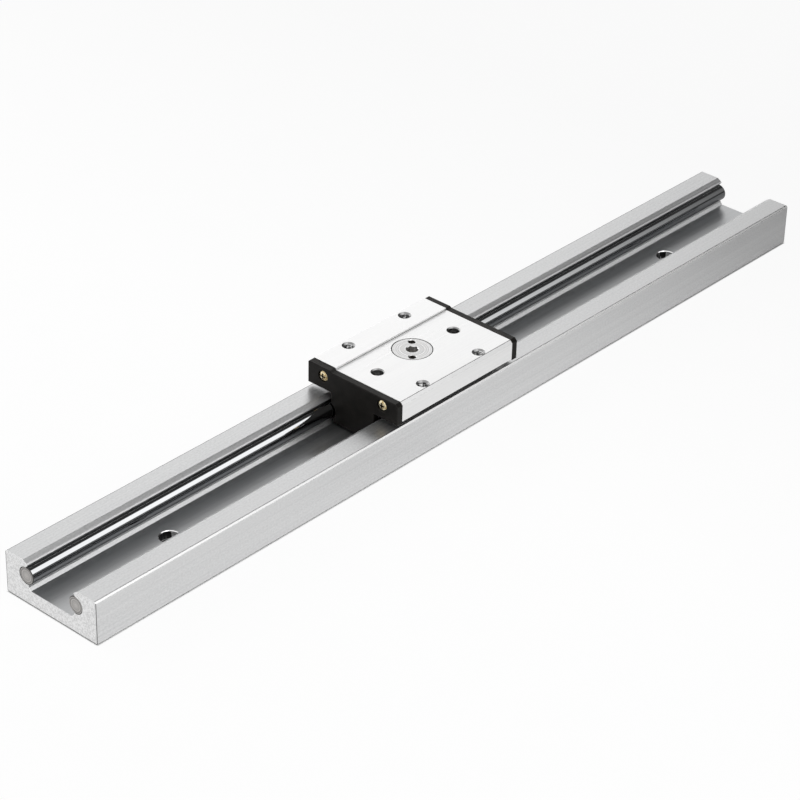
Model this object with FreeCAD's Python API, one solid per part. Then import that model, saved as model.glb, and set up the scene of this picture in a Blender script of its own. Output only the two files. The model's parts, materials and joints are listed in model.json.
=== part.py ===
import FreeCAD, Part
import math
import os

# Linear guide rail: an aluminium channel with two hardened shafts, and a
# carriage that runs between them on three grooved track rollers.
# Millimetres. +X runs along the rail, +Y across it and +Z up.
# The origin is the middle of the rail's underside.

# Rail channel
rail_length = 450.0
rail_width = 52.0
floor_thickness = 6.7
edge_break = 0.4
rail_top_chamfer = 0.7
slope_run = 2.0
slope_drop = 1.2
nose_run = 0.4
nose_drop = 0.55
lip_cover = 1.8
lip_wrap = 0.9
groove_wall_run = 0.4
ledge_run = 1.1
ledge_rise = 1.3
shaft_floor_gap = 2.3

# Rail fixing holes, counterbored in the channel floor
fixing_front_distance = 63.8
fixing_rear_distance = 60.2
fixing_hole_diameter = 5.5
fixing_head_diameter = 8.8
fixing_seat_thickness = 2.7
fixing_mouth_chamfer = 0.3

# Hardened shafts, held in the channel's grooves
shaft_diameter = 8.0
shaft_seat_clearance = 0.02
shaft_end_inset = 0.1
shaft_end_chamfer = 0.35

# Track rollers
ball_diameter = 3.0
ball_clearance = 0.06
ball_spacing = 0.75
inner_race_radius = 4.3
race_depth = 0.7
ring_wall = 1.45
rim_height = 1.75
rim_land = 1.15
rim_round = 0.3
tread_clearance = 0.1
running_gap = 0.05
roller_offset = 1.4
roller_pitch = 24.4
cage_gap = 0.2
cage_web = 0.45
shield_thickness = 0.5
shield_seat = 0.5
shield_recess = 0.2
shield_gap = 0.2
press_clearance = 0.02

# Roller studs
stud_recess = 0.3
collar_gap = 0.2
collar_height = 0.6
collar_width = 0.8
stud_thread = 5.0
stud_engagement = 6.5
stud_socket_flats = 2.5
stud_socket_depth = 2.5
thread_gap = 0.05
washer_thickness = 0.9
washer_diameter = 10.0
washer_gap = 0.1

# Eccentric adjuster of the middle roller
disc_diameter = 17.7
disc_thickness = 4.0
disc_gap = 0.3
disc_sink = 0.05
body_step = 2.1
body_gap = 0.05
eccentricity = 0.6
clamp_gap = 0.05
clamp_washer_diameter = 17.0
thread_runout = 0.6
socket_flats = 5.0
socket_depth = 3.0
spanner_hole_diameter = 3.1
spanner_hole_depth = 3.0
spanner_rim = 0.9
spanner_angle = 43.0
mouth_chamfer = 0.3

# Carriage block
carriage_position = -15.0
block_side_inset = 0.2
block_thickness = 9.25
wing_gap = 2.55
strip_width = 13.2
strip_height = 0.9
side_chamfer = 1.3
boss_gap = 1.8
roller_end_gap = 0.5
table_hole_pitch = 36.0
table_hole_edge = 4.3
table_tap_diameter = 4.2
table_mouth_diameter = 5.9
stud_mouth_diameter = 6.1

# End caps, their screws and felt wipers
cap_thickness = 3.4
cap_edge_break = 0.3
cap_rail_gap = 1.95
cap_strip_height = 0.6
cap_step_run = 1.2
tongue_gap = 0.9
tongue_floor_gap = 0.8
cap_shaft_gap = 0.6
cap_screw_thread = 2.5
cap_screw_length = 10.0
cap_screw_spacing = 34.0
cap_screw_height = 5.5
cap_screw_clearance = 0.1
head_diameter = 5.0
head_height = 2.0
head_dome = 0.8
head_recess = 1.8
head_clearance = 0.3
cross_length = 2.9
cross_width = 0.8
cross_depth = 1.2
felt_thickness = 1.8
felt_depth = 2.0
felt_shaft_gap = 0.3
felt_half_angle = 48.0
felt_seat_clearance = 0.05

# Worked out from the sizes above
shaft_radius = shaft_diameter / 2
seat_radius = shaft_radius + shaft_seat_clearance
shaft_z = floor_thickness + shaft_floor_gap + shaft_radius
rail_height = shaft_z + shaft_radius + lip_cover + slope_drop

ball_radius = ball_diameter / 2
ball_pitch_radius = inner_race_radius + ball_radius
outer_race_radius = inner_race_radius + ball_diameter
race_radius = ball_radius + ball_clearance
ball_count = int(2 * math.pi * ball_pitch_radius / (ball_diameter + ball_spacing))
ring_shoulder_radius = outer_race_radius - race_depth
stud_shoulder_radius = inner_race_radius + race_depth
tread_radius = outer_race_radius + ring_wall
ring_radius = tread_radius + rim_height
tread_arc_radius = shaft_radius + tread_clearance
tread_half_width = math.sqrt(tread_arc_radius ** 2 - (tread_arc_radius - rim_height) ** 2)
ring_half_width = tread_half_width + rim_land

shaft_y = roller_offset + tread_radius + running_gap + shaft_radius
lip_y = shaft_y - lip_wrap
land_y = lip_y + nose_run + slope_run
ledge_y = lip_y - groove_wall_run
floor_y = ledge_y - ledge_run
lip_rise = math.sqrt(seat_radius ** 2 - lip_wrap ** 2)

collar_bottom = shaft_z + ring_half_width + collar_gap
collar_top = collar_bottom + collar_height
boss_bottom = collar_top + washer_thickness
shank_top = boss_bottom + stud_engagement
shank_radius = stud_thread / 2

wing_bottom = rail_height + wing_gap
block_top = wing_bottom + block_thickness
block_half_length = roller_pitch + ring_radius + roller_end_gap
block_half_width = rail_width / 2 - block_side_inset
boss_half_width = lip_y - boss_gap
table_hole_y = block_half_width - table_hole_edge
cap_screw_z = wing_bottom + cap_screw_height
cap_bottom = rail_height + cap_rail_gap
tongue_half_width = lip_y - tongue_gap
tongue_foot_half_width = floor_y - tongue_gap
tongue_bottom = floor_thickness + tongue_floor_gap

disc_radius = disc_diameter / 2
disc_y = roller_offset - eccentricity
disc_top = block_top - disc_sink
disc_bottom = disc_top - disc_thickness
body_radius = disc_radius - body_step

front_x = carriage_position - roller_pitch
rear_x = carriage_position + roller_pitch
rollers = {
    "front": (front_x, -roller_offset),
    "middle": (carriage_position, roller_offset),
    "rear": (rear_x, -roller_offset),
}

X_AXIS = FreeCAD.Vector(1, 0, 0)
Z_AXIS = FreeCAD.Vector(0, 0, 1)
ORIGIN = FreeCAD.Vector(0, 0, 0)
PAST = 1.0


def vector(x, y, z):
    return FreeCAD.Vector(x, y, z)


def rod(radius, bottom, top, x=0.0, y=0.0):
    """Upright cylinder from one height to another."""
    return Part.makeCylinder(radius, top - bottom, vector(x, y, bottom))


def cone(radius_low, radius_high, bottom, top, x=0.0, y=0.0):
    return Part.makeCone(radius_low, radius_high, top - bottom, vector(x, y, bottom))


def bar_x(radius, start, end, y, z):
    """Round bar along the rail."""
    return Part.makeCylinder(radius, end - start, vector(start, y, z), X_AXIS)


def line(a, b):
    return Part.LineSegment(a, b).toShape()


def arc(a, middle, b):
    return Part.Arc(a, middle, b).toShape()


def polygon(points):
    """Flat face from corner points in order."""
    return Part.Face(Part.makePolygon(points + points[:1]))


def extrude_x(outline, start, end):
    """Solid with a (y, z) outline, from one station of the rail to another."""
    face = polygon([vector(start, y, z) for y, z in outline])
    return face.extrude(vector(end - start, 0, 0))


def turned(outline):
    """Solid of revolution about Z from a (radius, height) outline."""
    face = polygon([vector(radius, 0, height) for radius, height in outline])
    return face.revolve(ORIGIN, Z_AXIS, 360)


def hexagon(flats, bottom, top, x=0.0, y=0.0):
    """Upright hexagonal prism, for a key socket."""
    corner = flats / math.sqrt(3)
    points = []
    for step in range(6):
        turn = math.radians(60 * step)
        points.append(vector(x + corner * math.cos(turn), y + corner * math.sin(turn), bottom))
    return polygon(points).extrude(vector(0, 0, top - bottom))


def hole_mouth(mouth_diameter, bore_diameter, top, x, y):
    """Cone that chamfers the upper mouth of a hole at 45 degrees."""
    bore_radius = bore_diameter / 2
    wide_radius = mouth_diameter / 2 + PAST
    depth = wide_radius - bore_radius
    return cone(bore_radius, wide_radius, top + PAST - depth, top + PAST, x, y)


def save(name, shape):
    shape.exportStep("parts/" + name + ".step")


def rail_half_outline(side):
    """Edges of one half of the channel section, from the underside to the floor."""
    half_width = rail_width / 2
    nose_z = rail_height - slope_drop
    groove_bottom = shaft_z - lip_rise

    def at(y, z):
        return vector(-rail_length / 2, side * y, z)

    outside = [
        at(0, 0),
        at(half_width - edge_break, 0),
        at(half_width, edge_break),
        at(half_width, rail_height - rail_top_chamfer),
        at(half_width - rail_top_chamfer, rail_height),
        at(land_y, rail_height),
        at(lip_y + nose_run, nose_z),
        at(lip_y, nose_z - nose_drop),
        at(shaft_y, shaft_z + seat_radius),
    ]
    inside = [
        at(lip_y, groove_bottom),
        at(ledge_y, floor_thickness + ledge_rise),
        at(floor_y, floor_thickness),
        at(0, floor_thickness),
    ]
    edges = [line(a, b) for a, b in zip(outside, outside[1:])]
    edges.append(arc(outside[-1], at(shaft_y + seat_radius, shaft_z), inside[0]))
    edges += [line(a, b) for a, b in zip(inside, inside[1:])]
    return edges


def fixing_hole(x):
    """Cutter for one counterbored screw hole in the channel floor."""
    head_radius = fixing_head_diameter / 2
    hole = rod(fixing_hole_diameter / 2, -PAST, floor_thickness, x)
    head = rod(head_radius, fixing_seat_thickness, floor_thickness + PAST, x)
    mouth = hole_mouth(
        fixing_head_diameter + 2 * fixing_mouth_chamfer, fixing_head_diameter, floor_thickness, x, 0
    )
    return hole.fuse([head, mouth])


def rail_body():
    wire = Part.Wire(Part.__sortEdges__(rail_half_outline(1) + rail_half_outline(-1)))
    channel = Part.Face(wire).extrude(vector(rail_length, 0, 0))
    front_hole = fixing_front_distance - rail_length / 2
    rear_hole = rail_length / 2 - fixing_rear_distance
    middle_hole = (front_hole + rear_hole) / 2
    holes = [fixing_hole(x) for x in (front_hole, middle_hole, rear_hole)]
    return channel.cut(holes)


def shaft(side):
    """Hardened shaft with chamfered ends, all but flush with the rail's."""
    half_length = rail_length / 2 - shaft_end_inset
    round_bar = bar_x(shaft_radius, -half_length, half_length, side * shaft_y, shaft_z)
    end_edges = [edge for edge in round_bar.Edges if abs(edge.BoundBox.XLength) < shaft_end_chamfer]
    return round_bar.makeChamfer(shaft_end_chamfer, end_edges)


def race():
    """Cutter for the ball track, shared by a ring and its stud."""
    return Part.makeTorus(ball_pitch_radius, race_radius, ORIGIN, Z_AXIS)


def roller_ring():
    """Outer ring with a hollow tread that straddles the shaft, axis at the origin."""
    seat = ring_shoulder_radius + shield_seat
    seat_height = ring_half_width - shield_recess - shield_thickness
    upper = [
        (ring_radius, ring_half_width - rim_round),
        (ring_radius - rim_round, ring_half_width),
        (seat, ring_half_width),
        (seat, seat_height),
        (ring_shoulder_radius, seat_height),
    ]
    lower = [(radius, -height) for radius, height in reversed(upper)]
    blank = turned(upper + lower)
    tread = Part.makeTorus(tread_radius + tread_arc_radius, tread_arc_radius, ORIGIN, Z_AXIS)
    return blank.cut([tread, race()])


def roller_shield(side):
    """Thin annular shield pressed into one face of the ring."""
    outer = ring_shoulder_radius + shield_seat - press_clearance
    inner = stud_shoulder_radius + shield_gap
    face = ring_half_width - shield_recess
    low, high = sorted((side * face, side * (face - shield_thickness)))
    return rod(outer, low, high).cut(rod(inner, low - PAST, high + PAST))


def roller_stud():
    """One-piece stud: inner race, collar and threaded shank with a key socket."""
    bottom = stud_recess - ring_half_width
    collar_radius = stud_shoulder_radius + collar_width
    collar_low = collar_bottom - shaft_z
    collar_high = collar_top - shaft_z
    tip = shank_top - shaft_z
    body = turned(
        [
            (0, bottom),
            (stud_shoulder_radius - mouth_chamfer, bottom),
            (stud_shoulder_radius, bottom + mouth_chamfer),
            (stud_shoulder_radius, collar_low),
            (collar_radius, collar_low),
            (collar_radius, collar_high),
            (shank_radius, collar_high),
            (shank_radius, tip - mouth_chamfer),
            (shank_radius - mouth_chamfer, tip),
            (0, tip),
        ]
    )
    socket = hexagon(stud_socket_flats, tip - stud_socket_depth, tip + PAST)
    return body.cut([race(), socket])


def ball_places():
    places = []
    for step in range(ball_count):
        turn = 2 * math.pi * step / ball_count
        places.append(vector(ball_pitch_radius * math.cos(turn), ball_pitch_radius * math.sin(turn), 0))
    return places


def roller_balls():
    return Part.makeCompound([Part.makeSphere(ball_radius, place) for place in ball_places()])


def roller_cage():
    """Ring with one window per ball, running clear of ring and stud."""
    half_height = race_radius + cage_web
    outer = ring_shoulder_radius - cage_gap
    inner = stud_shoulder_radius + cage_gap
    band = rod(outer, -half_height, half_height).cut(rod(inner, -half_height - PAST, half_height + PAST))
    windows = [Part.makeCylinder(race_radius, outer + PAST, ORIGIN, place) for place in ball_places()]
    return band.cut(windows)


def washer(outer_diameter, thickness):
    """Washer on a stud's shank, seated on the collar."""
    low = collar_top - shaft_z
    high = low + thickness
    bore = rod(shank_radius + washer_gap, low - PAST, high + PAST)
    return rod(outer_diameter / 2, low, high).cut(bore)


def save_roller(name):
    """Pieces of one track roller, moved from the origin to their place."""
    x, y = rollers[name]
    pieces = {
        "roller_ring": roller_ring(),
        "roller_upper_shield": roller_shield(1),
        "roller_lower_shield": roller_shield(-1),
        "roller_stud": roller_stud(),
        "roller_balls": roller_balls(),
        "roller_cage": roller_cage(),
    }
    if name == "middle":
        pieces["clamp_washer"] = washer(clamp_washer_diameter, washer_thickness - clamp_gap)
    else:
        pieces["spacer_washer"] = washer(washer_diameter, washer_thickness)
    for piece, shape in pieces.items():
        shape.translate(vector(x, y, shaft_z))
        save(name + "_" + piece, shape)


def section_top(inset, bottom, strip, step_run):
    """Upper outline of block or cap, from the plain side to the raised strip's side."""
    edge = block_half_width - inset
    top = block_top - inset
    step_y = block_half_width - strip_width
    return [
        (-edge, bottom + inset),
        (-edge, top - side_chamfer),
        (side_chamfer - edge, top),
        (step_y - step_run / 2, top),
        (step_y + step_run / 2, top + strip),
        (edge - edge_break, top + strip),
        (edge, top + strip - edge_break),
        (edge, bottom + inset),
    ]


def block_outline():
    boss = [
        (boss_half_width, wing_bottom),
        (boss_half_width, boss_bottom),
        (-boss_half_width, boss_bottom),
        (-boss_half_width, wing_bottom),
    ]
    return section_top(0, wing_bottom, strip_height, 0) + boss


def cap_outline(inset):
    wide = tongue_half_width - inset
    narrow = tongue_foot_half_width - inset
    tongue = [
        (wide, cap_bottom + inset),
        (wide, shaft_z),
        (narrow, shaft_z),
        (narrow, tongue_bottom + inset),
        (-narrow, tongue_bottom + inset),
        (-narrow, shaft_z),
        (-wide, shaft_z),
        (-wide, cap_bottom + inset),
    ]
    return section_top(inset, cap_bottom, cap_strip_height, cap_step_run) + tongue


def carriage_block():
    start = carriage_position - block_half_length
    end = carriage_position + block_half_length
    block = extrude_x(block_outline(), start, end)
    cutters = []
    for x in (-table_hole_pitch / 2, table_hole_pitch / 2):
        for side, top in ((-1, block_top), (1, block_top + strip_height)):
            place = (carriage_position + x, side * table_hole_y)
            cutters.append(rod(table_tap_diameter / 2, wing_bottom - PAST, top + PAST, *place))
            cutters.append(hole_mouth(table_mouth_diameter, table_tap_diameter, top, *place))
    stud_bore = stud_thread + 2 * thread_gap
    for place in (rollers["front"], rollers["rear"]):
        cutters.append(rod(stud_bore / 2, boss_bottom - PAST, block_top + PAST, *place))
        cutters.append(hole_mouth(stud_mouth_diameter, stud_bore, block_top, *place))
    for y in (-cap_screw_spacing / 2, cap_screw_spacing / 2):
        depth = cap_screw_length - cap_thickness + head_recess + thread_runout
        tap_radius = cap_screw_thread / 2 + thread_gap
        cutters.append(bar_x(tap_radius, start - PAST, start + depth, y, cap_screw_z))
        cutters.append(bar_x(tap_radius, end - depth, end + PAST, y, cap_screw_z))
    pocket_floor = disc_bottom - disc_sink
    pocket = rod(disc_radius + disc_gap, pocket_floor, block_top + PAST, carriage_position, disc_y)
    bore = rod(body_radius + body_gap, boss_bottom - PAST, pocket_floor + PAST, carriage_position, disc_y)
    return block.cut(cutters + [pocket, bore])


def eccentric_adjuster():
    """Turned disc flush with the block's top; the middle stud screws into it off centre."""
    bottom = boss_bottom - clamp_gap
    disc = rod(disc_radius, disc_bottom, disc_top, carriage_position, disc_y)
    body = rod(body_radius, bottom, disc_bottom, carriage_position, disc_y)
    cutters = [
        hexagon(socket_flats, disc_top - socket_depth, disc_top + PAST, carriage_position, disc_y),
        hole_mouth(socket_flats + 2 * mouth_chamfer, socket_flats, disc_top, carriage_position, disc_y),
        rod(shank_radius + thread_gap, bottom - PAST, shank_top + thread_runout, *rollers["middle"]),
    ]
    reach = disc_radius - spanner_rim - spanner_hole_diameter / 2
    for turn in (spanner_angle, spanner_angle + 180):
        x = carriage_position + reach * math.cos(math.radians(turn))
        y = disc_y + reach * math.sin(math.radians(turn))
        spanner_radius = spanner_hole_diameter / 2
        cutters.append(rod(spanner_radius, disc_top - spanner_hole_depth, disc_top + PAST, x, y))
        mouth = spanner_hole_diameter + 2 * mouth_chamfer
        cutters.append(hole_mouth(mouth, spanner_hole_diameter, disc_top, x, y))
    return disc.fuse(body).cut(cutters)


def prism_between(outline_a, x_a, outline_b, x_b):
    """Solid lofted straight between two outlines with the same number of corners."""
    wires = []
    for outline, x in ((outline_a, x_a), (outline_b, x_b)):
        points = [vector(x, y, z) for y, z in outline]
        wires.append(Part.makePolygon(points + points[:1]))
    return Part.makeLoft(wires, True, True)


def felt_sector(side, inner_radius, outer_radius, half_angle, start, end):
    """Part of an annulus around one shaft, facing the middle of the rail."""
    reach = 2 * outer_radius
    spread = reach * math.tan(math.radians(half_angle))
    centre_y = side * shaft_y
    fan = extrude_x(
        [
            (centre_y, shaft_z),
            (centre_y - side * reach, shaft_z - spread),
            (centre_y - side * reach, shaft_z + spread),
        ],
        start,
        end,
    )
    ring = bar_x(outer_radius, start, end, centre_y, shaft_z)
    return ring.cut(bar_x(inner_radius, start - PAST, end + PAST, centre_y, shaft_z)).common(fan)


def end_cap(outward):
    """Moulded cap with a tongue down into the channel; outward is -1 or 1 along X."""
    inner_x = carriage_position + outward * block_half_length
    outer_x = inner_x + outward * cap_thickness
    near = inner_x + outward * cap_edge_break
    far = outer_x - outward * cap_edge_break
    full = cap_outline(0)
    small = cap_outline(cap_edge_break)
    cap = prism_between(small, inner_x, full, near)
    cap = cap.fuse([prism_between(full, near, full, far), prism_between(full, far, small, outer_x)])
    low_x, high_x = sorted((inner_x, outer_x))
    cutters = []
    for side in (-1, 1):
        shaft_hole = shaft_radius + cap_shaft_gap
        cutters.append(bar_x(shaft_hole, low_x - PAST, high_x + PAST, side * shaft_y, shaft_z))
        pocket_start, pocket_end = sorted((inner_x - outward * PAST, inner_x + outward * felt_thickness))
        pocket_radius = shaft_hole + felt_depth + felt_seat_clearance
        pocket_angle = felt_half_angle + math.degrees(felt_seat_clearance / shaft_radius)
        cutters.append(
            felt_sector(side, shaft_radius, pocket_radius, pocket_angle, pocket_start, pocket_end)
        )
        screw_y = side * cap_screw_spacing / 2
        screw_hole = cap_screw_thread / 2 + cap_screw_clearance
        cutters.append(bar_x(screw_hole, low_x - PAST, high_x + PAST, screw_y, cap_screw_z))
        seat_start, seat_end = sorted((outer_x - outward * head_recess, outer_x + outward * PAST))
        cutters.append(bar_x(head_diameter / 2 + head_clearance, seat_start, seat_end, screw_y, cap_screw_z))
    return cap.cut(cutters).removeSplitter()


def cap_screw(outward, side):
    """Round-head cross-recess screw, made upright and laid along the rail."""
    head_radius = head_diameter / 2
    thread_radius = cap_screw_thread / 2
    shank = turned(
        [
            (0, -cap_screw_length),
            (thread_radius - mouth_chamfer, -cap_screw_length),
            (thread_radius, mouth_chamfer - cap_screw_length),
            (thread_radius, 0),
            (0, 0),
        ]
    )
    dome_radius = (head_radius ** 2 + head_dome ** 2) / (2 * head_dome)
    dome = Part.makeSphere(dome_radius, vector(0, 0, head_height - dome_radius))
    head = rod(head_radius, 0, head_height).common(dome)
    low = head_height - cross_depth
    size = cross_depth + PAST
    cutters = []
    for length, width in ((cross_length, cross_width), (cross_width, cross_length)):
        cutters.append(Part.makeBox(length, width, size, vector(-length / 2, -width / 2, low)))
    screw = shank.fuse(head).cut(cutters)
    screw.rotate(ORIGIN, vector(0, 1, 0), 90 * outward)
    seat = carriage_position + outward * (block_half_length + cap_thickness - head_recess)
    screw.translate(vector(seat, side * cap_screw_spacing / 2, cap_screw_z))
    return screw


def felt_wiper(outward, side):
    """Felt pad in a cap's pocket, just off the shaft."""
    seat = carriage_position + outward * block_half_length
    start, end = sorted((seat, seat + outward * (felt_thickness - felt_seat_clearance)))
    inner_radius = shaft_radius + felt_shaft_gap
    outer_radius = shaft_radius + cap_shaft_gap + felt_depth
    return felt_sector(side, inner_radius, outer_radius, felt_half_angle, start, end)


os.makedirs("parts", exist_ok=True)
save("rail_body", rail_body())
save("left_shaft", shaft(1))
save("right_shaft", shaft(-1))
save("carriage_block", carriage_block())
save("eccentric_adjuster", eccentric_adjuster())
for roller_name in rollers:
    save_roller(roller_name)
for end_name, outward in (("front", -1), ("rear", 1)):
    save(end_name + "_end_cap", end_cap(outward))
    save(end_name + "_cap_screws", Part.makeCompound([cap_screw(outward, side) for side in (-1, 1)]))
    save(end_name + "_felt_wipers", Part.makeCompound([felt_wiper(outward, side) for side in (-1, 1)]))
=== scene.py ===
import json
import math

import bpy
from mathutils import Matrix, Vector


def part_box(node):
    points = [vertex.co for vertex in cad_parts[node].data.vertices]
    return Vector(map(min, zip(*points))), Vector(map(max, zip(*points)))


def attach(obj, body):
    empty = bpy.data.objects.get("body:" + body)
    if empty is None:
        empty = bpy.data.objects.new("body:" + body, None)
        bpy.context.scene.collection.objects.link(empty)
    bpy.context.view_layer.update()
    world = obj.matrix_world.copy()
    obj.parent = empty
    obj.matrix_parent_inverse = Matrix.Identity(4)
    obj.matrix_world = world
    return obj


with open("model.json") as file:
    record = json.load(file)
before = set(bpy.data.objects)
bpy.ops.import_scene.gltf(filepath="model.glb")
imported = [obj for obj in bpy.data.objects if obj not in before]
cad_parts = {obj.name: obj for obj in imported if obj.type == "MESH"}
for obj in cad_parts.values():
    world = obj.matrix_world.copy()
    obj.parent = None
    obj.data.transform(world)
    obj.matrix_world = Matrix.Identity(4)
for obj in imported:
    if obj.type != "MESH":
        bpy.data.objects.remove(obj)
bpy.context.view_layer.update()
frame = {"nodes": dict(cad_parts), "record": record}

# Metres, in the part's own frame: +X along the rail, +Y across it, +Z up,
# with the origin at the middle of the rail's underside.
MM = 0.001

# Camera, from the rail's corners in the photograph: roll in degrees, sensor in millimetres
CAMERA_PLACE = (-0.82444, -0.70926, 0.67453)
CAMERA_FORWARD = (0.63614, 0.56300, -0.52760)
CAMERA_ROLL = 1.344
CAMERA_NEAREST = 0.01
IMAGE_SIZE = 800
FOCAL_PIXELS = 2910.2
SENSOR_WIDTH = 36.0

# Floor: its tone and its glow in mirrored rays fade along X, from the first place to the second, as
# painted shade that stands in for light falling off
FLOOR_SIZE = 12.0
FLOOR_GAP = 0.2 * MM
FLOOR_GLOW = 0.92
FLOOR_FADE = (-0.03, 0.27)
FLOOR_MIRRORED = (0.93, 0.0)
FLOOR_TONE = (0.88, 0.40)
FLOOR_GRAIN = (0.98, 1.02)
CONTACT_WIDTH = 0.6 * MM

# Dome: how bright each part of it is, and where it lies. Rise, sweep, top and height are in
# degrees, and fade, reach and edge are parts of a direction. Two limits go from none of a box to
# all of it, and four limits are a rise and then a fall.
DOME_LOW_LIGHT = 0.10
DOME_HIGH_LIGHT = 0.04
DOME_FADE = (0.0, 0.7)
SIDE_BOX_LIGHT = 1.38
SIDE_BOX_RISE = (19, 23, 66, 71)
SIDE_BOX_REACH = (-0.35, -0.2, 0.6, 0.76)
REAR_BOX_LIGHT = 1.38
REAR_BOX_SWEEP = (23, 39, 100, 115)
REAR_BOX_TOP = (47, 35)
FRONT_DOME_LIGHT = 0.9
FRONT_DOME_EDGE = (0.25, -0.05)
TOP_BOX_LIGHT = 0.62
TOP_BOX_EDGE = (0.5, 0.36)
TOP_BOX_HEIGHT = (49, 60)

# Ranges of a noise: where most of its values lie, the middle of them, and wear that comes and goes
SWING = (0.3, 0.7)
CORE = (0.4, 0.6)
PATCHES = (0.3, 0.6)

# Upward parts of the normals of upper faces, of walls and of 45 degree hole mouths
UPPER_FACE = 0.8
WALL_LEAN = 0.5
MOUTH_SLANT = math.sqrt(0.5)
MOUTH_MARGIN = 0.1

# Where the rail is dull and where the rail and its shafts carry painted shade: heights above the
# underside, half widths from the middle, and widths of the chamfer and of the painted dark lines
# along the edges
CHANNEL_HALF_WIDTH = 11.85 * MM
CHANNEL_FLOOR = (6.45 * MM, 6.5 * MM, 6.85 * MM, 6.9 * MM)
LIP_HALF_WIDTH = 14.6 * MM
LIP_SHADOW = (16.6 * MM, 16.8 * MM, 18.1 * MM, 18.25 * MM)
SHAFT_SHADE = (15.2 * MM, 14.5 * MM)
HOLE_HALF_WIDTH = 6.0 * MM
HOLE_WALLS = (0.1 * MM, 0.2 * MM, 6.3 * MM, 6.4 * MM)
TOP_CHAMFER = 0.7 * MM
CHAMFER_LINE = 0.3 * MM
BOTTOM_LINE = 0.35 * MM
CORNER_LINE = 0.25 * MM

# Lean of the saw marks on the rail's ends, in radians
SAW_TILT = 0.12

# Steps of the carriage's top, widths of painted shade in the step's corner and along a line, zones
# of its holes, and the width of painted shade at the rim of turned pieces
STRIP_WIDTH = 13.2 * MM
STRIP_HEIGHT = 0.9 * MM
SIDE_CHAMFER = 1.3 * MM
EDGE_LINE = 0.15 * MM
CREASE = 0.2 * MM
STUD_HOLE_ZONE = 5.0 * MM
DISC_ZONE = 15.0 * MM
SHADED_RIM = 0.2 * MM

# Threads in the carriage's tapped holes
THREAD_PITCH = 0.8 * MM
THREAD_FLANK = 0.32 * MM
THREAD_HEIGHT = 0.2 * MM
THREAD_ROOT = 0.05 * MM
THREAD_MOUTH = 0.9 * MM
THREAD_STEPS = 40
TABLE_HOLE_DEPTH = 9.0 * MM

# How light the plain steels are
TURNED_LIGHT = 0.78
BEARING_LIGHT = 0.6
SHIELD_LIGHT = 0.5

rail_low, rail_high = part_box("rail_body")
block_low, block_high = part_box("carriage_block")


class Graph:
    """Short way to write a node tree. A mask is a number from 0 to 1."""

    def __init__(self, tree):
        self.tree = tree
        self.coordinates = self.node("ShaderNodeTexCoord")

    def put(self, socket, value):
        """Links an output to a socket, or sets the socket's value."""
        if isinstance(value, bpy.types.NodeSocket):
            self.tree.links.new(value, socket)
        else:
            socket.default_value = value

    def node(self, kind, values=None, **settings):
        """New node, with its settings and what its sockets get."""
        made = self.tree.nodes.new(kind)
        for key, value in settings.items():
            setattr(made, key, value)
        for socket, value in (values or {}).items():
            self.put(made.inputs[socket], value)
        return made

    def math(self, operation, a, b=0.0):
        return self.node("ShaderNodeMath", {0: a, 1: b}, operation=operation).outputs[0]

    def both(self, a, b):
        return self.math("MULTIPLY", a, b)

    def opposite(self, mask):
        return self.math("SUBTRACT", 1.0, mask)

    def split(self, vector):
        return self.node("ShaderNodeSeparateXYZ", {0: vector}).outputs

    def span(self, value, low, high, to_low=0.0, to_high=1.0):
        """Maps a value from one range to another, clamped."""
        values = {"Value": value, "From Min": low, "From Max": high}
        values.update({"To Min": to_low, "To Max": to_high})
        return self.node("ShaderNodeMapRange", values).outputs["Result"]

    def smooth(self, value, low, high):
        """0 at low, 1 at high, with a soft bend at both; low may be the larger number."""
        values = {"Value": value, "From Min": low, "From Max": high}
        made = self.node("ShaderNodeMapRange", values, interpolation_type="SMOOTHSTEP")
        return made.outputs["Result"]

    def window(self, value, limits):
        """Smooth rise from 0 to 1 between the first two limits, and fall between the last two."""
        rise = self.smooth(value, limits[0], limits[1])
        fall = self.smooth(value, limits[3], limits[2])
        return self.both(rise, fall)


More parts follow.
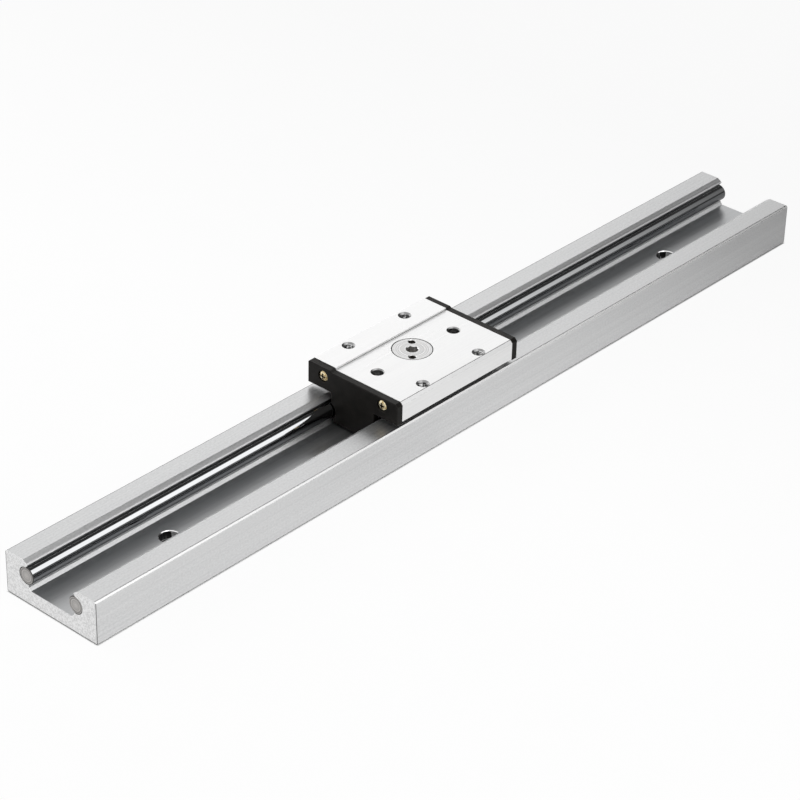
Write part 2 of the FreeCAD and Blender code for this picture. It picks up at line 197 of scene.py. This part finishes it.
class Finish(Graph):
    """Node tree of one material, with its shader."""

    def __init__(self, name):
        self.material = bpy.data.materials.new(name)
        self.material.use_nodes = True
        super().__init__(self.material.node_tree)
        self.shader = self.tree.nodes["Principled BSDF"]

    def set(self, **values):
        """Sets the shader's sockets; an underscore stands for a space."""
        for key, value in values.items():
            self.put(self.shader.inputs[key.replace("_", " ")], value)

    def spot(self):
        """X, Y and Z in the part's frame, with the piece at rest."""
        return self.split(self.coordinates.outputs["Object"])

    def facing(self):
        """X, Y and Z of the way that the surface faces."""
        return self.split(self.coordinates.outputs["Normal"])

    def place(self, scale=(1, 1, 1), move=(0, 0, 0), turn=(0, 0, 0)):
        """The piece's own coordinates, scaled, moved and turned."""
        values = {"Vector": self.coordinates.outputs["Object"], "Scale": scale}
        values.update({"Location": move, "Rotation": turn})
        return self.node("ShaderNodeMapping", values).outputs["Vector"]

    def noise(self, vector, scale=1.0, detail=2.0, roughness=0.5):
        values = {"Vector": vector, "Scale": scale, "Detail": detail, "Roughness": roughness}
        return self.node("ShaderNodeTexNoise", values).outputs["Fac"]

    def mix(self, factor, a, b):
        made = self.node("ShaderNodeMix", data_type="RGBA")
        for name, value in (("Factor_Float", factor), ("A_Color", a), ("B_Color", b)):
            socket = next(s for s in made.inputs if s.identifier == name)
            self.put(socket, value)
        return next(s for s in made.outputs if s.identifier == "Result_Color")

    def vary(self, noise, low, high, swing=SWING):
        """Number that goes from low to high as the noise swings."""
        return self.span(noise, *swing, low, high)

    def tones(self, noise, first, second, swing=SWING):
        """Colour that goes from the first to the second as the noise swings."""
        return self.mix(self.span(noise, *swing), first, second)

    def below(self, value, limit):
        return self.math("LESS_THAN", value, limit)

    def above(self, value, limit):
        return self.math("GREATER_THAN", value, limit)

    def near(self, value, middle, reach):
        """1 where a value is within reach of a middle one, 0 elsewhere."""
        return self.below(self.math("ABSOLUTE", self.math("SUBTRACT", value, middle)), reach)

    def facing_ends(self, least=0.8):
        """1 on faces turned towards the rail's ends, 0 elsewhere."""
        return self.above(self.math("ABSOLUTE", self.facing()["X"]), least)

    def hollows(self, reach, lit=0.62, dark=0.3):
        """1 down in holes and sockets, 0 on open faces, as a mask for painted shade; lit and dark
        are shares of open sky.
        """
        sky = self.node(
            "ShaderNodeAmbientOcclusion", {"Distance": reach}, samples=8, only_local=True
        )
        return self.span(sky.outputs["AO"], lit, dark)

    def length(self, a, b):
        """Distance from an axis, from two offsets across it."""
        flat = self.node("ShaderNodeCombineXYZ", {0: a, 1: b})
        made = self.node("ShaderNodeVectorMath", {0: flat.outputs[0]}, operation="LENGTH")
        return made.outputs["Value"]

    def rounded(self, radius):
        """Normal that reads as a small round along each edge."""
        return self.node("ShaderNodeBevel", {"Radius": radius}, samples=6).outputs["Normal"]

    def edges(self, radius, flat=0.98, sharp=0.8):
        """1 along the edges, 0 on open faces; flat and sharp are cosines of the normal's bend."""
        true_normal = self.node("ShaderNodeNewGeometry").outputs["Normal"]
        values = {0: self.rounded(radius), 1: true_normal}
        dot = self.node("ShaderNodeVectorMath", values, operation="DOT_PRODUCT")
        return self.span(dot.outputs["Value"], flat, sharp)

    def bump(self, height, strength, distance, normal=None):
        values = {"Height": height, "Strength": strength, "Distance": distance}
        if normal is not None:
            values["Normal"] = normal
        self.set(Normal=self.node("ShaderNodeBump", values).outputs["Normal"])


def grey(value, warm=0.0):
    return (value * (1 + warm), value, value * (1 - warm), 1.0)


def rail_aluminium():
    """Satin anodised extrusion: drawn lines, a dull channel floor, sawn ends, painted shade, and
    bright edges from wear and painted highlights.
    """
    g = Finish("rail_aluminium")
    lines = g.noise(g.place((3, 900, 900)), detail=5, roughness=0.65)
    clouds = g.noise(g.place((6, 40, 40)), detail=3)
    saw = g.noise(g.place((1, 150, 2600), turn=(SAW_TILT, 0, 0)), detail=4, roughness=0.7)
    speckle = g.noise(g.place(), scale=1500)
    grit = g.noise(g.place((900, 1500, 1500)))
    drill_marks_and_glints = g.noise(g.place((520, 520, 90)))
    streaks = g.math("ADD", lines, g.vary(grit, -0.2, 0.2))

    # Masks of the rail's surfaces
    spot = g.spot()
    across = g.math("ABSOLUTE", spot["Y"])
    along = g.math("ABSOLUTE", spot["X"])
    upright = g.facing()["Z"]
    ends = g.facing_ends()
    channel = g.both(g.window(spot["Z"], CHANNEL_FLOOR), g.below(across, CHANNEL_HALF_WIDTH))
    under_lip_shade = g.both(g.window(spot["Z"], LIP_SHADOW), g.below(across, LIP_HALF_WIDTH))
    by_holes = g.below(across, HOLE_HALF_WIDTH)
    shaded_bores = g.both(g.window(spot["Z"], HOLE_WALLS), by_holes)
    shaded_bores = g.both(shaded_bores, g.near(upright, 0.0, WALL_LEAN))
    mouth = g.both(g.near(upright, MOUTH_SLANT, MOUTH_MARGIN), by_holes)

    # Masks of its edges
    corner = g.math("ADD", across, spot["Z"])
    chamfer_start = rail_high.y + rail_high.z - TOP_CHAMFER
    chamfer = g.above(corner, chamfer_start - CHAMFER_LINE / 4)
    chamfer_shade_line = g.near(corner, chamfer_start - CHAMFER_LINE * 3 / 4, CHAMFER_LINE / 2)
    chamfer_shade_line = g.both(chamfer_shade_line, g.above(spot["Z"], rail_high.z - CHAMFER_LINE / 2))
    by_end = g.above(along, rail_high.x - CORNER_LINE)
    end_corner_shade = g.both(by_end, g.above(across, rail_high.y - CORNER_LINE))
    bottom_shadow = g.below(spot["Z"], BOTTOM_LINE)
    wear_and_glint = g.both(g.edges(0.5 * MM), g.vary(clouds, 0.5, 1.0, PATCHES))

    tone = g.tones(streaks, grey(0.57, -0.004), grey(0.74, -0.004), swing=(0.2, 0.8))
    tone = g.mix(g.vary(clouds, 0.0, 0.35, swing=(0.35, 0.65)), tone, grey(0.70))
    tone = g.mix(channel, tone, g.tones(lines, grey(0.54, -0.012), grey(0.62, -0.012)))
    # Painted shade under the lips and down in hollows; the bolt holes get painted shade with painted
    # glints in streaks on their walls
    tone = g.mix(under_lip_shade, tone, g.mix(lines, grey(0.10), grey(0.22)))
    tone = g.mix(g.hollows(5 * MM), tone, g.mix(speckle, grey(0.10), grey(0.2)))
    tone = g.mix(shaded_bores, tone, g.tones(drill_marks_and_glints, grey(0.05), grey(0.8), swing=(0.5, 0.66)))
    # The top chamfer is lighter and smoother, partly its finish and partly a painted highlight;
    # along its upper edge runs a painted dark line, a painted shade that stands in for a dark
    # reflection
    tone = g.mix(chamfer, tone, grey(0.80))
    tone = g.mix(g.both(chamfer_shade_line, g.vary(clouds, 0.6, 1.0, PATCHES)), tone, grey(0.2))
    tone = g.mix(ends, tone, g.tones(speckle, grey(0.68), grey(0.84), CORE))
    # Bright edges are partly wear and partly a painted highlight, and the hole mouths get a painted
    # highlight; the dark lines at the end corners and along the foot are painted shade
    tone = g.mix(g.math("MAXIMUM", wear_and_glint, mouth), tone, grey(0.93))
    tone = g.mix(end_corner_shade, tone, grey(0.2))
    g.set(Base_Color=g.mix(bottom_shadow, tone, grey(0.25)), Metallic=1.0)
    rough = g.mix(channel, g.vary(lines, 0.32, 0.42), g.vary(lines, 0.34, 0.42))
    rough = g.mix(chamfer, rough, g.vary(lines, 0.22, 0.3))
    rough = g.mix(mouth, rough, grey(0.12))
    g.set(Roughness=g.mix(ends, rough, g.vary(speckle, 0.58, 0.5, CORE)))
    height = g.mix(ends, lines, g.math("ADD", saw, speckle))
    g.bump(height, 0.12, 0.05 * MM, g.rounded(0.2 * MM))
    return g.material


def block_aluminium():
    """Bright milled aluminium with a fine straight grain, and painted shade in its holes, along its
    step and on a line by its chamfer.
    """
    g = Finish("block_aluminium")
    grain = g.noise(g.place((14, 1500, 1500)), detail=4, roughness=0.6)
    clouds = g.noise(g.place((20, 60, 60)), detail=3)
    spot = g.spot()
    step_y = block_high.y - STRIP_WIDTH
    lower_top = block_high.z - STRIP_HEIGHT
    crease_shade = g.both(g.near(spot["Y"], step_y, CREASE), g.near(spot["Z"], lower_top, CREASE))
    off_step = g.opposite(g.near(spot["Y"], step_y, 2 * CREASE))
    slant = g.near(g.facing()["Z"], MOUTH_SLANT, MOUTH_MARGIN)
    mouths = g.both(slant, g.near(spot["Y"], 0.0, block_high.y - SIDE_CHAMFER))
    holes = g.both(g.hollows(6 * MM, lit=0.7, dark=0.4), off_step)
    middle = (block_low.x + block_high.x) / 2
    beside_disc = g.opposite(g.near(spot["X"], middle, DISC_ZONE))
    by_studs = g.both(g.near(spot["Y"], 0.0, STUD_HOLE_ZONE), beside_disc)
    side_shade_line = g.near(spot["Y"], block_low.y + SIDE_CHAMFER, EDGE_LINE)
    tone = g.tones(grain, grey(0.80), grey(0.87))
    tone = g.mix(g.vary(clouds, 0.0, 0.3, swing=(0.4, 0.65)), tone, grey(0.83, 0.006))
    # Painted shade in the step's corner, on a line by the chamfer, down in the holes, lighter in the
    # stud holes, and on the hole mouths
    tone = g.mix(crease_shade, tone, g.mix(grain, grey(0.25), grey(0.45)))
    tone = g.mix(side_shade_line, tone, g.mix(grain, grey(0.2), grey(0.4)))
    tone = g.mix(holes, tone, g.mix(grain, grey(0.14), grey(0.34)))
    tone = g.mix(g.both(holes, by_studs), tone, g.mix(clouds, grey(0.3), grey(0.66)))
    tone = g.mix(mouths, tone, g.mix(grain, grey(0.2), grey(0.42)))
    g.set(Base_Color=tone, Metallic=1.0, Roughness=g.vary(grain, 0.27, 0.36))
    g.bump(grain, 0.12, 0.04 * MM, g.rounded(0.12 * MM))
    return g.material


def tapped_aluminium():
    """Cut thread crests, with painted shade in patches, brighter than the painted shade of the hole
    round them.
    """
    g = Finish("tapped_aluminium")
    marks = g.noise(g.place((900, 900, 200)), detail=3)
    # Painted shade: the dark end of these tones darkens the thread in patches
    g.set(Base_Color=g.tones(marks, grey(0.04), grey(0.75), swing=(0.47, 0.62)), Metallic=1.0)
    g.set(Roughness=g.vary(marks, 0.18, 0.34))
    g.bump(marks, 0.1, 0.03 * MM)
    return g.material


def hardened_shaft():
    """Polished chrome with fine grinding marks, painted shade on its lower half, dull turned ends.
    """
    g = Finish("hardened_shaft")
    low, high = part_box("left_shaft")
    centre = (low + high) / 2
    spot = g.spot()
    across = g.math("SUBTRACT", g.math("ABSOLUTE", spot["Y"]), centre.y)
    radius = g.length(across, g.math("SUBTRACT", spot["Z"], centre.z))
    line = g.node("ShaderNodeCombineXYZ", {0: radius, 1: spot["X"]})
    turning = g.noise(line.outputs[0], scale=1700, detail=3)
    grinding = g.noise(g.place((2600, 30, 30)), detail=3, roughness=0.6)
    smears = g.noise(g.place((9, 300, 300)), detail=3)
    smear_range = (0.35, 0.7)
    lower_half_shade = g.both(g.smooth(spot["Z"], *SHAFT_SHADE), g.vary(smears, 0.8, 1.0, swing=(0.2, 0.5)))
    rounded_ends = g.facing_ends(0.5)
    flat_ends = g.facing_ends(0.9)
    tone = g.tones(smears, grey(0.60, -0.015), grey(0.68, -0.015), smear_range)
    # Painted shade: the lower half of the shaft is darker
    tone = g.mix(lower_half_shade, tone, grey(0.22, -0.03))
    tone = g.mix(rounded_ends, tone, grey(0.09, 0.03))
    cut = g.tones(turning, grey(0.22, 0.03), grey(0.5, 0.03), swing=(0.38, 0.62))
    g.set(Base_Color=g.mix(flat_ends, tone, cut), Metallic=1.0)
    polish = g.vary(smears, 0.05, 0.10, smear_range)
    g.set(Roughness=g.mix(rounded_ends, polish, g.vary(turning, 0.45, 0.55, CORE)))
    g.bump(grinding, 0.02, 0.02 * MM)
    return g.material


def turned_steel(node):
    """Fine turned steel: rings round the node's upright axis, with painted shade at its rim and in
    its sockets.
    """
    g = Finish("turned_steel_" + node)
    low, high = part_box(node)
    centre = (low + high) / 2
    parts = g.split(g.place(move=(-centre.x, -centre.y, 0)))
    radius = g.length(parts["X"], parts["Y"])
    line = g.node("ShaderNodeCombineXYZ", {0: radius, 1: parts["Z"]})
    rings = g.noise(line.outputs[0], scale=1500, detail=4, roughness=0.7)
    rim = g.above(radius, (high.x - low.x) / 2 - SHADED_RIM)
    stain = g.noise(g.place(), scale=420, detail=3)
    tone = g.tones(rings, grey(TURNED_LIGHT * 0.68), grey(TURNED_LIGHT * 1.18), CORE)
    stained = g.vary(stain, 0.0, 0.45, swing=(0.45, 0.65))
    tone = g.mix(stained, tone, grey(TURNED_LIGHT * 0.78, 0.02))
    # Painted shade in the sockets and at the rim
    tone = g.mix(g.hollows(5 * MM), tone, g.mix(stain, grey(0.18, 0.04), grey(0.42, 0.04)))
    tone = g.mix(rim, tone, grey(0.2))
    g.set(Base_Color=tone, Metallic=1.0, Roughness=g.vary(rings, 0.26, 0.42))
    g.bump(rings, 0.35, 0.05 * MM, g.rounded(0.15 * MM))
    return g.material


def black_plastic():
    """Moulded black plastic: fine spark-eroded texture, rubbed edges, painted light on its upper
    faces.
    """
    g = Finish("black_plastic")
    fine = g.noise(g.place(), scale=5200)
    broad = g.noise(g.place(), scale=240, detail=3)
    upper_face_light = g.above(g.facing()["Z"], UPPER_FACE)
    rubbed = g.both(g.edges(0.4 * MM), g.vary(broad, 0.2, 0.8, PATCHES))
    tone = g.tones(broad, grey(0.004, 0.15), grey(0.008, 0.15), swing=(0.35, 0.7))
    # Painted light: faces turned upwards are lighter
    tone = g.mix(upper_face_light, tone, g.mix(broad, grey(0.012, 0.06), grey(0.03, 0.06)))
    g.set(Base_Color=g.mix(rubbed, tone, grey(0.035, 0.06)), Roughness=g.vary(fine, 0.42, 0.56))
    g.set(Specular_IOR_Level=0.12)
    g.bump(fine, 0.12, 0.05 * MM, g.rounded(0.3 * MM))
    return g.material


def screw_brass():
    """Yellow plated screw heads, rubbed at the edges, with painted shade in the cross."""
    g = Finish("screw_brass")
    bright = (0.93, 0.83, 0.58, 1)
    brown = (0.46, 0.33, 0.14, 1)
    rubbed = (0.95, 0.91, 0.78, 1)
    recess_shade = (0.05, 0.04, 0.015, 1)
    stain = g.noise(g.place(), scale=900, detail=4)
    tone = g.tones(stain, bright, brown, swing=(0.42, 0.58))
    tone = g.mix(g.math("MULTIPLY", g.edges(0.2 * MM), 0.6), tone, rubbed)
    # Painted shade down in the cross
    g.set(Base_Color=g.mix(g.hollows(1.5 * MM), tone, recess_shade), Metallic=1.0)
    g.set(Roughness=g.vary(stain, 0.12, 0.26))
    g.bump(stain, 0.1, 0.04 * MM, g.rounded(0.15 * MM))
    return g.material


def felt():
    """Dense felt of fine fibres."""
    g = Finish("felt")
    fibres = g.noise(g.place(), scale=2600, detail=6, roughness=0.75)
    tone = g.tones(fibres, grey(0.16, 0.08), grey(0.34, 0.08))
    g.set(Base_Color=tone, Roughness=0.95, Sheen_Weight=0.4)
    g.bump(fibres, 0.6, 0.1 * MM)
    return g.material


def cage_nylon():
    """Moulded nylon, pale and a little mottled."""
    g = Finish("cage_nylon")
    mottle = g.noise(g.place(), scale=700, detail=3)
    g.set(Base_Color=g.mix(mottle, (0.60, 0.53, 0.38, 1), (0.72, 0.66, 0.52, 1)))
    g.set(Roughness=g.vary(mottle, 0.42, 0.55), Subsurface_Weight=0.1)
    g.bump(mottle, 0.1, 0.04 * MM)
    return g.material


def ground_steel(name, light):
    """Steel with fine grinding lines round its upright axis."""
    g = Finish(name)
    marks = g.noise(g.place((60, 60, 4200)), detail=3, roughness=0.6)
    tone = g.tones(marks, grey(light * 0.9), grey(light * 1.08))
    g.set(Base_Color=tone, Metallic=1.0, Roughness=g.vary(marks, 0.18, 0.3))
    g.bump(marks, 0.1, 0.03 * MM, g.rounded(0.15 * MM))
    return g.material


def dress_nodes():
    """Gives every carried-over node the finish of its slot in the record."""
    finishes = {
        "rail_aluminium": rail_aluminium(),
        "block_aluminium": block_aluminium(),
        "hardened_shaft": hardened_shaft(),
        "bearing_steel": ground_steel("bearing_steel", BEARING_LIGHT),
        "shield_steel": ground_steel("shield_steel", SHIELD_LIGHT),
        "cage_nylon": cage_nylon(),
        "black_plastic": black_plastic(),
        "screw_brass": screw_brass(),
        "felt": felt(),
    }
    for subpart in frame["record"]["subparts"]:
        node = subpart["node"]
        slot = subpart["material_slot"]
        material = turned_steel(node) if slot == "turned_steel" else finishes[slot]
        mesh = frame["nodes"][node].data
        mesh.materials.clear()
        mesh.materials.append(material)


def thread_coil(x, y, radius, bottom, top):
    """Vertices and faces of a ridge that winds up the wall of a tapped hole."""
    vertices = []
    faces = []
    steps = int((top - bottom) / THREAD_PITCH * THREAD_STEPS)
    root = radius + THREAD_ROOT
    crest = radius - THREAD_HEIGHT
    for step in range(steps + 1):
        turn = 2 * math.pi * step / THREAD_STEPS
        z = bottom + THREAD_PITCH * step / THREAD_STEPS
        for reach, rise in ((root, -THREAD_FLANK), (crest, 0.0), (root, THREAD_FLANK)):
            vertices.append((x + reach * math.cos(turn), y + reach * math.sin(turn), z + rise))
    for step in range(steps):
        a = 3 * step
        faces.append((a, a + 3, a + 4, a + 1))
        faces.append((a + 1, a + 4, a + 5, a + 2))
        faces.append((a + 2, a + 5, a + 3, a))
    last = 3 * steps
    faces.append((0, 1, 2))
    faces.append((last, last + 2, last + 1))
    return vertices, faces


def mesh_object(name, vertices, faces, material):
    """New object in the scene, from its vertices and faces."""
    mesh = bpy.data.meshes.new(name)
    mesh.from_pydata(vertices, [], faces)
    mesh.materials.append(material)
    mesh.update()
    made = bpy.data.objects.new(name, mesh)
    bpy.context.scene.collection.objects.link(made)
    return made


def table_threads():
    """Threads of the carriage's four table holes, from the mount in the record."""
    mount = next(m for m in frame["record"]["mounts"] if m["name"] == "carriage_table_holes")
    sizes = mount["dims"]
    vertices = []
    faces = []
    for side, top in ((-1, block_high.z - STRIP_HEIGHT), (1, block_high.z)):
        for end in (-1, 1):
            x = mount["pos_m"][0] + end * sizes["spacing_x_mm"] / 2 * MM
            y = mount["pos_m"][1] + side * sizes["spacing_y_mm"] / 2 * MM
            bottom = top - TABLE_HOLE_DEPTH
            coil = thread_coil(x, y, sizes["hole_r_mm"] * MM, bottom, top - THREAD_MOUTH)
            start = len(vertices)
            vertices += coil[0]
            faces += [tuple(start + corner for corner in face) for face in coil[1]]
    piece = mesh_object("table_hole_threads", vertices, faces, tapped_aluminium())
    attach(piece, "carriage")


def floor():
    """Floor that looks white and still takes the object's shadow, with painted shade along X."""
    g = Finish("studio_floor")
    g.tree.nodes.remove(g.shader)
    spot = g.spot()
    grain = g.noise(g.place(), scale=40)
    # Painted shade: the paper darkens along X
    tone = g.both(g.span(spot["X"], *FLOOR_FADE, *FLOOR_TONE), g.vary(grain, *FLOOR_GRAIN))
    paper = g.node("ShaderNodeBsdfDiffuse", {"Color": tone})
    glow = g.node("ShaderNodeEmission", {"Color": (1, 1, 1, 1), "Strength": 1.0})

    # The glow is for the camera and for mirrored rays, and stops at the rail's foot
    ray = g.node("ShaderNodeLightPath").outputs
    mirrored = g.math("MAXIMUM", ray["Is Glossy Ray"], ray["Is Transmission Ray"])
    # Painted shade in reflections: the mirrored glow fades along X
    mirrored = g.both(mirrored, g.span(spot["X"], *FLOOR_FADE, *FLOOR_MIRRORED))
    seen = g.math("MULTIPLY", ray["Is Camera Ray"], FLOOR_GLOW)
    across = g.math("SUBTRACT", g.math("ABSOLUTE", spot["Y"]), rail_high.y)
    along = g.math("SUBTRACT", g.math("ABSOLUTE", spot["X"]), rail_high.x)
    open_floor = g.smooth(g.math("MAXIMUM", across, along), 0.0, CONTACT_WIDTH)
    share = g.both(g.math("ADD", seen, mirrored), open_floor)
    blend = g.node("ShaderNodeMixShader", {0: share, 1: paper.outputs[0], 2: glow.outputs[0]})
    g.tree.links.new(blend.outputs[0], g.tree.nodes["Material Output"].inputs["Surface"])

    half = FLOOR_SIZE / 2
    low = rail_low.z - FLOOR_GAP
    corners = [(-half, -half, low), (half, -half, low), (half, half, low), (-half, half, low)]
    sheet = mesh_object("studio_floor", corners, [(0, 1, 2, 3)], g.material)


def dome():
    """Dark dome with a pale front, and softboxes on the rail's right, low behind it and overhead."""
    world = bpy.data.worlds.new("studio_dome")
    bpy.context.scene.world = world
    world.use_nodes = True
    g = Graph(world.node_tree)

    def degrees(a, b):
        return g.math("DEGREES", g.math("ARCTAN2", a, b))

    way = g.split(g.coordinates.outputs["Generated"])
    rise = degrees(way["Z"], g.math("MULTIPLY", way["Y"], -1.0))
    sweep = degrees(way["Y"], way["X"])
    height = g.math("DEGREES", g.math("ARCSINE", way["Z"]))
    side_box = g.both(g.window(rise, SIDE_BOX_RISE), g.window(way["X"], SIDE_BOX_REACH))
    rear_box = g.both(g.window(sweep, REAR_BOX_SWEEP), g.smooth(height, *REAR_BOX_TOP))
    front = g.smooth(way["X"], *FRONT_DOME_EDGE)
    top_box = g.both(g.smooth(way["X"], *TOP_BOX_EDGE), g.smooth(height, *TOP_BOX_HEIGHT))
    parts = (
        (side_box, SIDE_BOX_LIGHT),
        (rear_box, REAR_BOX_LIGHT),
        (front, FRONT_DOME_LIGHT),
        (g.both(top_box, g.opposite(front)), TOP_BOX_LIGHT),
    )
    light = g.span(way["Z"], *DOME_FADE, DOME_LOW_LIGHT, DOME_HIGH_LIGHT)
    for mask, strength in parts:
        light = g.math("ADD", light, g.math("MULTIPLY", mask, strength))
    light = g.math("MAXIMUM", light, g.node("ShaderNodeLightPath").outputs["Is Camera Ray"])
    sky = g.tree.nodes["Background"]
    g.put(sky.inputs["Color"], (1, 1, 1, 1))
    g.put(sky.inputs["Strength"], light)


def camera():
    """Camera at the photograph's viewpoint."""
    data = bpy.data.cameras.new("photo_camera")
    data.sensor_width = SENSOR_WIDTH
    data.sensor_fit = "HORIZONTAL"
    data.lens = FOCAL_PIXELS * SENSOR_WIDTH / IMAGE_SIZE
    data.clip_start = CAMERA_NEAREST
    photo_camera = bpy.data.objects.new("photo_camera", data)
    aim = Vector(CAMERA_FORWARD).to_track_quat("-Z", "Y").to_matrix().to_4x4()
    roll = Matrix.Rotation(math.radians(CAMERA_ROLL), 4, "Z")
    photo_camera.matrix_world = Matrix.Translation(CAMERA_PLACE) @ aim @ roll
    bpy.context.scene.collection.objects.link(photo_camera)
    bpy.context.scene.camera = photo_camera


bpy.context.scene.view_settings.view_transform = "Standard"
dress_nodes()
table_threads()
floor()
dome()
camera()
